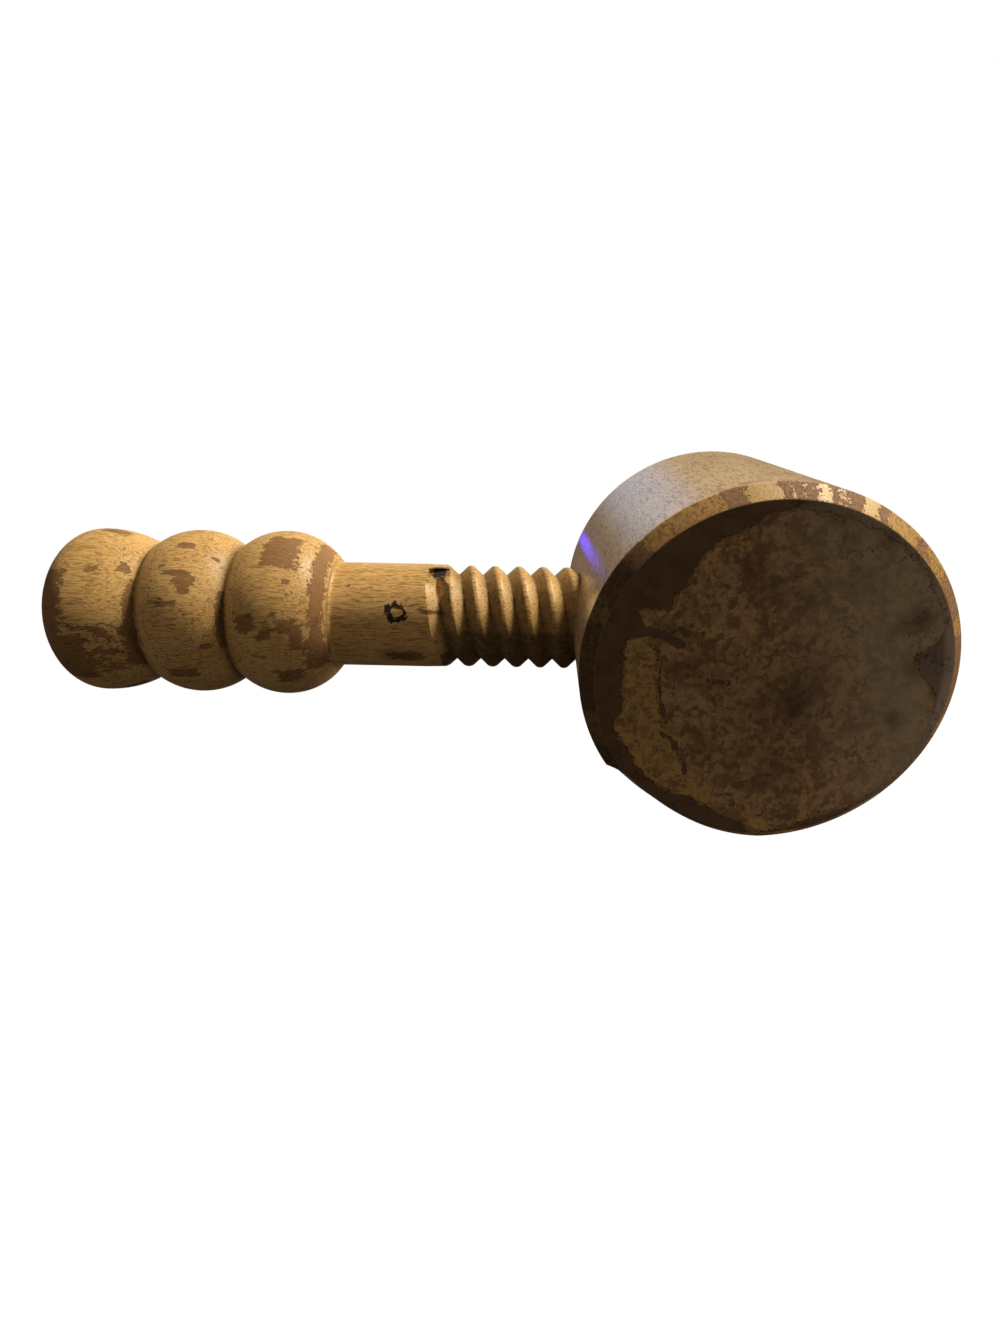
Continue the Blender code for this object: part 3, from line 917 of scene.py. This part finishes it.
@dataclass
class Cup:
    """The turned cup, with its chamfered base, its cavity and its threaded hole."""

    radius: float
    height: float
    axis_height: float
    chamfer_width: float = 2.15 * MM
    chamfer_height: float = 2.45 * MM
    edge_rounding: float = 0.4 * MM
    lip_rounding: float = 1.7 * MM
    cavity_radius: float = 19.0 * MM
    floor_thickness: float = 14.0 * MM
    cavity_corner: float = 8.0 * MM
    thread_clearance: float = 0.45 * MM
    wear_offset: float = 7.2 * MM
    wear_towards: float = math.radians(-50)
    wear_start: float = math.radians(90)
    wear_sweep: float = math.radians(44.7)
    wear_reach: Pair = (32.76 * MM, 36.0 * MM)
    wear_outside: float = 38.5 * MM
    knock_angle: float = math.radians(136.5)
    knock_reach: float = 35.9 * MM
    knock_radii: Pair = (10.3 * MM, 7.0 * MM)
    tool_low: float = -1.0 * MM
    tool_high: float = 8.0 * MM
    hole_reach: float = 11.0 * MM
    drill_past: float = 5.0 * MM
    tooth_overlap: float = 0.3 * MM
    margin: float = 0.05 * MM
    spacing: float = 0.8 * MM
    steps: int = 232

    # Places on the base, in mm. A crack is a line, its half width and its depth. A stain is x, y,
    # its reach and its strength. A border is azimuths in degrees and radii.
    cracks: tuple = (
        ([(-21, -6.6), (-18.5, -7.0), (-16.3, -6.3), (-13.8, -5.2)], 0.9, 0.8),
        ([(-16.3, -6.3), (-14.5, -7.6), (-13.0, -6.6)], 0.8, 0.65),
        ([(-18.5, -7.0), (-17.3, -4.5), (-16.7, -1.8), (-16.8, 1.5), (-16.4, 4.2), (-15.2, 7.6)],
         0.8, 0.54),
        ([(-15.8, 9.0), (-13.8, 10.8), (-12.0, 14.0), (-11.5, 16.0)], 0.8, 0.58),
        ([(-12.9, -1.9), (-9.2, 0.7), (-6.4, 0.6)], 0.9, 0.45),
    )
    stains: tuple = (
        (5.5, -1.0, 4.5, 0.3), (4.0, 4.5, 3.0, 0.3), (-8.0, 0.6, 2.2, 0.35), (1, 6, 11, 0.38),
        (20.1, -9.7, 2.4, 0.7), (20.8, -2.5, 2.4, 0.6), (16.5, -8.0, 1.6, 0.4),
        (8.7, -21, 1.5, 0.5), (13.9, -21.1, 1.6, 0.6), (18.7, 6.1, 1.8, 0.6),
        (-1.5, -14.0, 2.6, 0.45), (3.0, -12.5, 2.0, 0.4), (-5.0, -17.0, 2.0, 0.4),
        (11.0, -15.5, 2.2, 0.35), (-13.0, -1.9, 2.4, 0.4), (2.0, 15.0, 3.0, 0.35)
    )
    crust_border: tuple[Pair, ...] = (
        (80, 26), (98, 21.8), (115, 19.8), (140, 17.7), (160, 16.9), (186, 16.8), (200, 20.3),
        (222, 18.7), (245, 21.2), (262, 24), (280, 28), (20, 28)
    )
    filler_border: tuple[Pair, ...] = (
        (6, 24.5), (17, 25.5), (32, 26.5), (66, 25.0), (89, 26.5), (95, 24.5), (105, 23.3),
        (116, 22.9), (134, 24.2), (154, 24.3), (160, 24.5), (166, 22.8), (178, 22.0), (196, 22.6),
        (200, 20.6), (207, 22.9), (212, 19.4), (225, 19.6), (234, 21.2), (239, 22.3), (252, 22.7),
        (263, 24.5), (274, 25.2), (285, 24.9), (311, 25.5), (330, 25.4), (340, 25.8), (345, 24.0),
        (348, 20.6), (356, 21.7)
    )

    def section(self) -> Outline:
        """Draw the cup's section as (radius, height), from the base's centre to the floor's."""
        corners = [
            ((self.radius - self.chamfer_width, 0), self.edge_rounding),
            ((self.radius, self.chamfer_height), self.edge_rounding),
            ((self.radius, self.height), self.lip_rounding),
            ((self.cavity_radius, self.height), self.lip_rounding),
            ((self.cavity_radius, self.floor_thickness), self.cavity_corner),
            ((0, self.floor_thickness), 0),
        ]
        outline = Outline((0, 0), self.spacing)
        for (corner, rounding), (after, _) in zip(corners, corners[1:]):
            outline.round_corner(corner, after, rounding)
        outline.line(corners[-1][0])
        return outline

    def build(self, screw: Screw) -> Thing:
        """Turn the cup and tap its hole for the screw.

        Args:
            screw: The screw, whose thread the hole takes with a clearance.

        Returns:
            The cup as one mesh in its place.
        """
        points = [Vector((p.x, 0, p.y)) for p in self.section().points]
        thing = Workbench.draw("nutcracker_cup", points)
        Workbench.turn(thing, (0, 0, 1), (0, 0, 0), self.steps)
        root = screw.root_radius + self.thread_clearance
        crest = screw.crest_radius + self.thread_clearance
        inner = -self.cavity_radius + self.drill_past
        outer = screw.runout_x + 2.25 * screw.lead
        corners = ((outer, 0), (outer, root), (inner, root), (inner, 0))
        drill = Workbench.draw("drill", [Vector((x, 0, self.axis_height + up)) for x, up in corners])
        Workbench.turn(drill, (1, 0, 0), screw.on_axis(0), screw.steps)
        half_crest = screw.crest_width / 2
        flank = (screw.crest_spacing / 2 - half_crest) / screw.thread_depth
        low = root - self.tooth_overlap
        base = half_crest + (crest - low) * flank
        tooth = [Vector(p) for p in ((-base, low), (-half_crest, crest), (half_crest, crest), (base, low))]
        grooves = screw.threads("tap", tooth, outer, math.ceil((inner - outer) / screw.lead))
        Workbench.cut(thing, drill, *grooves, self.worn_edge(), self.knocked_edge())
        Workbench.smooth(thing, math.radians(35))
        return thing

    def worn_edge(self) -> Thing:
        """Return the solid that years of standing and knocks have taken off one stretch of the edge."""
        centre = Vector((*spoke(self.wear_towards), 0)) * self.wear_offset
        first = Vector((*spoke(self.wear_start), 0))
        foot, top = self.wear_reach
        section = [(foot, self.tool_low), (top, self.tool_high), (self.wear_outside, self.tool_high),
                   (self.wear_outside, self.tool_low)]
        points = [centre + first * reach + Vector((0, 0, height)) for reach, height in section]
        tool = Workbench.draw("worn_edge", points, closed=True)
        Workbench.turn(tool, (0, 0, -1), centre, 48, self.wear_sweep)
        return tool

    def knocked_edge(self) -> Thing:
        """Return the rounded bite that ends the worn stretch of the edge."""
        wide, narrow = self.knock_radii
        place = (*(spoke(self.knock_angle) * self.knock_reach), (self.tool_low + self.tool_high) / 2)
        return Workbench.primitive(
            bpy.ops.mesh.primitive_cone_add, "knock", vertices=96, radius1=wide, radius2=narrow,
            depth=self.tool_high - self.tool_low, location=place)

    def dress(self, thing: Thing, side: Finish, base: Finish, inside: Finish, edge: Finish) -> None:
        """Give the cup's side, base, inside and chamfer their finishes, their wear and their painted shade
        and sheen.

        Args:
            thing: The cup.
            side: The finish of the wall and the lip.
            base: The finish of the base.
            inside: The finish of the cavity and the threaded hole.
            edge: The finish of the chamfer.
        """
        x, y, z = Workbench.vertices(thing).T
        angle, radius = np.arctan2(y, x), np.hypot(x, y)
        degrees = np.degrees(angle) % 360
        at_base = z < self.margin
        bare, dirt_and_shade, pale = self.edge_wear(angle, radius, z)
        flat = self.base_wear(degrees, x / MM, y / MM)
        bare, dirt_and_shade, pale = (np.where(at_base, new, old) for new, old in zip(flat, (bare, dirt_and_shade, pale)))
        inner = radius < self.cavity_radius + self.lip_rounding
        bare = np.where(inner & ~at_base, 1.0, bare)
        Workbench.dress(thing, (bare, dirt_and_shade, pale), side, base, inside, edge)
        for face in thing.data.polygons:
            middle = face.center
            from_axis = math.hypot(middle.x, middle.y)
            if middle.z < self.margin / 2:
                face.material_index = 1
            elif from_axis < self.cavity_radius + 0.3 * MM or self.in_hole(middle):
                face.material_index = 2
            elif middle.z < self.chamfer_height:
                face.material_index = 3

    def edge_wear(self, angle: np.ndarray, radius: np.ndarray, z: np.ndarray) -> tuple[np.ndarray, ...]:
        """Return how bare and pale the wall and the chamfer are, and how much shade is painted on them.

        Args:
            angle: The azimuth of each vertex, in radians.
            radius: Its distance from the cup's axis.
            z: Its height.

        Returns:
            The three kinds of wear, for each vertex.
        """
        degrees = np.degrees(angle) % 360
        chamfer = (z < self.chamfer_height + self.edge_rounding / 2) & (z > self.margin)

        def beyond(first: float, last: float) -> np.ndarray:
            """Return how far round the edge each vertex lies beyond a stretch of it, in mm."""
            return (turn_from(angle, (first + last) / 2) - math.radians((last - first) / 2)) * radius / MM

        lacquered = [(100, 112), (128, 140), (154, 167), (196.5, 203.5), (224, 249.5), (256.5, 266.5),
                     (269.5, 270.5), (272.5, 273.5), (277, 281), (284, 286), (291, 296.5), (300, 312),
                     (316, 326), (340, 345), (12, 20), (45, 60), (75, 82)]
        shining = [(256.5, 266.5, 0.45), (277, 281, 1.0), (291, 296.5, 0.9)]
        bare = np.min([np.clip(0.5 + beyond(*ends) / 1.8, 0, 1) for ends in lacquered], axis=0)
        pale = np.max([shine * np.clip(0.5 - beyond(*ends) / 0.8, 0, 1) for *ends, shine in shining],
                      axis=0)
        # Painted shade: low on the wall beside the hole, and on the chamfer's left, both turned from the
        # key lamp.
        beside_hole = np.clip((200 - degrees) / 4, 0, 1) * np.clip((degrees - 180) / 6, 0, 1)
        dark = np.clip((degrees - 138) / 6, 0, 1) * np.clip((222 - degrees) / 6, 0, 1)
        dirt_and_shade = np.where(chamfer, 0.85 * dark, 0.7 * beside_hole * (z < 0.4 * self.height))
        return np.where(chamfer, bare, 0), dirt_and_shade, np.where(chamfer, pale, 0)

    def base_wear(self, degrees: np.ndarray, x: np.ndarray, y: np.ndarray) -> tuple[np.ndarray, ...]:
        """Return how bare, stained and pale the base is, the paleness lowered where a grey sheen is
        painted.

        Args:
            degrees: The azimuth of each vertex.
            x: Its place along X, in millimetres.
            y: Its place along Y, in millimetres.

        Returns:
            The three kinds of wear for each vertex, with the painted sheen in the third.
        """
        radius = np.hypot(x, y)
        border = np.interp(degrees, *zip(*self.filler_border), period=360)
        seam = np.interp(degrees, *zip(*self.crust_border), period=360)
        bare = np.clip(0.5 + (radius - border) / 3.0, 0, 1)
        for line, width, depth in self.cracks:
            bare = np.maximum(bare, depth * np.exp(-(self.distance_to(line, x, y) / width) ** 2))
        crusted = np.clip(0.5 + (radius - seam) / 1.6, 0, 1)
        # Painted sheen: greyer towards +X, where the base catches the light, but not in the ring just
        # inside the border.
        painted_sheen = np.clip((x - 0.35 * y) / 18, 0, 1)
        painted_sheen = np.where((radius > border - 0.4) & (radius < 25.0), 0.0, painted_sheen)
        stain = sum(strength * np.exp(-((x - stain_x) ** 2 + (y - stain_y) ** 2) / reach ** 2)
                    for stain_x, stain_y, reach, strength in self.stains)
        return bare, np.clip(0.2 + stain, 0, 1), 0.38 + 0.62 * crusted - 0.38 * painted_sheen

    def in_hole(self, point: Vector) -> bool:
        """Return whether a point lies in the threaded hole, under the wall's outer surface."""
        from_axis = math.hypot(point.x, point.y)
        from_hole = math.hypot(point.y, point.z - self.axis_height)
        return from_axis < self.radius - 2 * self.margin and point.x < 0 and from_hole < self.hole_reach

    @staticmethod
    def distance_to(line: list[Pair], across: np.ndarray, up: np.ndarray) -> np.ndarray:
        """Return how far each place of the base is from a broken line."""
        best = np.full_like(across, np.inf)
        for (x, y), (after_x, after_y) in zip(line, line[1:]):
            dx, dy = after_x - x, after_y - y
            share = np.clip(((across - x) * dx + (up - y) * dy) / (dx * dx + dy * dy), 0, 1)
            best = np.minimum(best, np.hypot(across - x - share * dx, up - y - share * dy))
        return best


@dataclass(frozen=True)
class Lamp:
    """A square soft light that hangs towards one side of its target and points at it."""

    name: str
    towards: Triple
    colour: str
    power: float
    size: float
    distance: float = 0.9

    def hang(self, target: Vector) -> Thing:
        """Hang the lamp at its distance from a target and return it."""
        data = bpy.data.lights.new(self.name, "AREA")
        data.size = self.size
        data.energy = self.power
        data.color = linear(self.colour)[:3]
        thing = bpy.data.objects.new(self.name, data)
        bpy.context.collection.objects.link(thing)
        direction = Vector(self.towards).normalized()
        thing.location = target + direction * self.distance
        thing.rotation_euler = direction.to_track_quat("Z", "Y").to_euler()
        return thing


@dataclass
class Studio:
    """The camera of the photograph, its lamps, a dim world and a floor."""

    focal_px: float = 761.56
    principal: Pair = (525.11, 659.48)
    image: tuple[int, int] = (1000, 1333)
    eye: Triple = (-34.885 * MM, -40.372 * MM, -105.977 * MM)
    turns: Triple = (math.radians(19.76), math.radians(0.89), math.radians(1.18))
    ambient: float = 0.10
    ambient_from: Triple = (-0.25, -0.75, 0.0)
    floor_gap: float = 0.02 * MM
    floor_growth: float = 60
    floor_near: float = 0.16
    floor_far: float = 0.6

    def camera(self) -> None:
        """Place the camera below the base, as the photograph was taken."""
        data = bpy.data.cameras.new("view")
        data.sensor_fit = "AUTO"
        data.sensor_width = 36.0
        longest = max(self.image)
        data.lens = self.focal_px * data.sensor_width / longest
        data.shift_x = (self.image[0] / 2 - self.principal[0]) / longest
        data.shift_y = (self.principal[1] - self.image[1] / 2) / longest
        data.clip_start, data.clip_end = 0.005, 10.0
        thing = bpy.data.objects.new("view", data)
        bpy.context.collection.objects.link(thing)
        tilt, swing, roll = self.turns
        right, down, forward = (Matrix.Rotation(roll, 3, "Z") @ Matrix.Rotation(swing, 3, "Y")
                                @ Matrix.Rotation(tilt, 3, "X"))
        turned = Matrix((right, -down, -forward)).transposed().to_4x4()
        thing.matrix_world = Matrix.Translation(self.eye) @ turned
        bpy.context.scene.camera = thing

    @staticmethod
    def feather(lamp: Thing) -> None:
        """Fade a lamp from its middle to its edge, so that its reflection has no border."""
        nodes = Nodes(lamp.data)
        place = nodes.add("NewGeometry", out="Parametric")
        centred = nodes.add("VectorMath", {0: place, 1: (0.5, 0.5, 0.0)}, operation="SUBTRACT")
        distance = nodes.add("VectorMath", {0: centred}, out="Value", operation="LENGTH")
        level = nodes.add("MapRange", {"Value": distance, "From Min": 0.5, "From Max": 0.08},
                          interpolation_type="SMOOTHSTEP")
        nodes.add("OutputLight", {"Surface": nodes.add("Emission", {"Strength": level})})

    def world(self) -> None:
        """Make the background white for the camera and a dim soft light for everything else."""
        world = bpy.data.worlds.new("studio")
        bpy.context.scene.world = world
        nodes = Nodes(world)
        seen = nodes.add("LightPath", out="Is Camera Ray")
        through = nodes.add("LightPath", out="Is Transmission Ray")
        shown = nodes.add("Math", {0: seen, 1: through}, operation="MAXIMUM")
        white = nodes.add("Background", {"Color": (1, 1, 1, 1), "Strength": 1.0})
        direction = nodes.add("TexCoord", out="Generated")
        lean = nodes.add("VectorMath", {0: direction, 1: self.ambient_from}, out="Value",
                         operation="DOT_PRODUCT")
        level = nodes.layered(self.ambient, (lean, self.ambient))
        level = nodes.add("Math", {0: level, 1: 0.08 * self.ambient}, operation="MAXIMUM")
        dim = nodes.add("Background", {"Color": "#FFEDD8", "Strength": level})
        nodes.add("OutputWorld", {"Surface": nodes.add("MixShader", {0: shown, 1: dim, 2: white})})

    def floor(self, opening: float) -> None:
        """Lay a pale floor a hair under the base, seen only from above.

        Args:
            opening: The radius of the opening under the cup, which the base covers.
        """
        thing = Workbench.primitive(bpy.ops.mesh.primitive_circle_add, "floor", vertices=96, radius=opening,
                                    location=(0, 0, -self.floor_gap), fill_type="NOTHING")
        with Workbench.editing(thing):
            bpy.ops.mesh.extrude_region_move()
            bpy.ops.transform.resize(value=(self.floor_growth, self.floor_growth, 1),
                                     center_override=(0, 0, 0))
            bpy.ops.mesh.select_all(action="SELECT")
            bpy.ops.mesh.normals_make_consistent(inside=False)
        if thing.data.polygons[0].normal.z < 0:
            thing.data.flip_normals()
        thing.data.materials.append(self.floor_finish())

    def floor_finish(self) -> bpy.types.Material:
        """Return a pale finish that fades to white far away and that only the camera sees, from above."""
        material = bpy.data.materials.new("pale_floor")
        nodes = Nodes(material)
        seen = nodes.add("LightPath", out="Is Camera Ray")
        below = nodes.add("NewGeometry", out="Backfacing")
        above = nodes.add("Math", {0: 1.0, 1: below}, operation="SUBTRACT")
        shown = nodes.add("Math", {0: seen, 1: above}, operation="MULTIPLY")
        pale = nodes.add("BsdfDiffuse", {"Color": "#EDEBE8"})
        place = nodes.add("TexCoord", out="Object")
        far = nodes.add("VectorMath", {0: place}, out="Value", operation="LENGTH")
        far = nodes.add("MapRange", {"Value": far, "From Min": self.floor_near, "From Max": self.floor_far},
                        interpolation_type="SMOOTHSTEP")
        white = nodes.add("Emission", {"Strength": 1.0})
        ground = nodes.add("MixShader", {0: far, 1: pale, 2: white})
        mixed = nodes.add("MixShader", {0: shown, 1: nodes.add("BsdfTransparent"), 2: ground})
        nodes.add("OutputMaterial", {"Surface": mixed})
        return material

    def build(self, opening: float) -> None:
        """Set up the camera, the lamps, the world and the floor, open under the cup."""
        self.camera()
        middle = (CAD_BOX[0] + CAD_BOX[1]) / 2
        cup = Vector((0, 0, middle.z))
        Lamp("key", (0.53, -0.82, 0.16), "#FFF4E2", power=8.9, size=0.2).hang(middle)
        overhead = Lamp("overhead", (0.6, 0.0, 0.8), "#FFFFFF", power=6.0, size=0.5).hang(middle)
        fill = Lamp("fill", (-0.3, -0.3, 0.9), "#FFF8EE", power=2.5, size=0.5).hang(middle)
        overhead.visible_glossy = fill.visible_glossy = False
        self.feather(Lamp("window", (-0.115, -0.205, 0.97), "#9CCBFF", power=0.38, size=0.40).hang(cup))
        Lamp("violet", (-0.20, 0.07, 0.977), "#5A3CFF", power=0.022, size=0.03).hang(cup)
        glow = Lamp("glow", (0.60, 0.35, -0.72), "#FFF0E0", power=0.012, size=0.05, distance=0.08)
        glow.hang(Vector((28 * MM, 0, 0))).visible_camera = False
        self.world()
        self.floor(opening)


def main() -> None:
    """Build the studio and the two pieces, dress them and set them on their bodies."""
    logging.basicConfig(level=logging.INFO, format="%(name)s: %(message)s")
    bpy.context.scene.view_settings.view_transform = "Standard"
    hinge = next(j for j in frame["joints"] if j["name"] == "screw_turn")
    axis_height = hinge["pos_m"][2]
    cup_low, cup_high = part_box("cup")
    screw_low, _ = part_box("screw")
    nose_low, nose_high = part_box("screw_nose")

    screw = Screw(axis_height=axis_height, handle_end=screw_low.x, nose_tip=nose_high.x,
                  nose_back=nose_low.x)
    cup = Cup(radius=cup_high.x, height=cup_high.z - cup_low.z, axis_height=axis_height)

    # Brush lacquer gone satin with handling: warm, low gloss, and duller where it has flaked.
    # Its grime colour also paints shade: in the hollows, the thread's roots and underside, and the flanks
    # facing the handle.
    handle_finish = WornLacquer(
        name="flaking_lacquer_on_turned_wood", lacquer="#F3C77E", lacquer_deep="#A37538",
        lacquer_pale="#F0CD8F", wood="#B38651", wood_dark="#85603A", grime_and_shade="#2F2416",
        grain=Grain.ALONG_X, centre=(0, 0, axis_height), knot=(-59.5 * MM, -3.13 * MM, 20.68 * MM),
        satin=0.38, streak_width=0.22, fleck_share=0.028)
    # The same lacquer, paler, and rubbed until it shines: it mirrors the window softly.
    # Its grime colour also paints shade low on the wall beside the hole.
    side_finish = WornLacquer(
        name="rubbed_lacquer_on_cup_side", lacquer="#EECFA0", lacquer_deep="#AE8E60",
        lacquer_pale="#F2CB8C", wood="#B88F64", wood_dark="#80593A", grime_and_shade="#2E2214",
        grain=Grain.ALONG_Z, coat=0.7, fleck_share=0.006, streak_width=0.4, streak_length=3.0,
        film_thickness=0.15)
    # Chipped in blocks by knocks, so ochre lacquer and dull brown wood take turns.
    # Its grime colour paints the shade on the chamfer's left.
    chamfer_finish = replace(
        side_finish, name="chipped_lacquer_on_chamfer", lacquer="#DDAE6A", lacquer_deep="#93703F",
        lacquer_pale="#F6D08A", coat=0.0, flake_length=1.5, flake_width=1.2, splinter_length=0.6,
        splinter_width=0.45, raggedness=0.95)
    # Bare wood as the turning tool left it: matt, light brown, with fine rings of grain.
    # Its grime colour paints shade low around the hole.
    inside_finish = WornLacquer(
        name="bare_turned_wood_in_cavity", lacquer="#C9A276", lacquer_deep="#A67C50",
        lacquer_pale="#D9B88A", wood="#B98F62", wood_dark="#8A6440", grime_and_shade="#4A3620",
        grain=Grain.ALONG_Z)
    # Old filler over end grain: gritty and matt, with a smooth dark band where it rubbed, and a painted
    # grey sheen towards +X.
    base_finish = WornEndGrain(
        name="filled_end_grain_of_base", filler="#BC9668", filler_stained="#7E5E3C", crust="#C29B5C",
        band="#5E452C", band_worn="#715439", stain="#4A3722", sheen_grey="#A3937B")

    stick = screw.build()
    screw.dress(stick, handle_finish)
    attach(stick, "screw")
    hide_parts("screw", "screw_nose")
    log.info("screw: %d faces", len(stick.data.polygons))

    bowl = cup.build(screw)
    cup.dress(bowl, side_finish, base_finish, inside_finish, chamfer_finish)
    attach(bowl, "cup")
    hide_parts("cup")
    log.info("cup: %d faces", len(bowl.data.polygons))

    Studio().build(cup.radius - 2 * cup.chamfer_width)


if __name__ == "__main__":
    main()
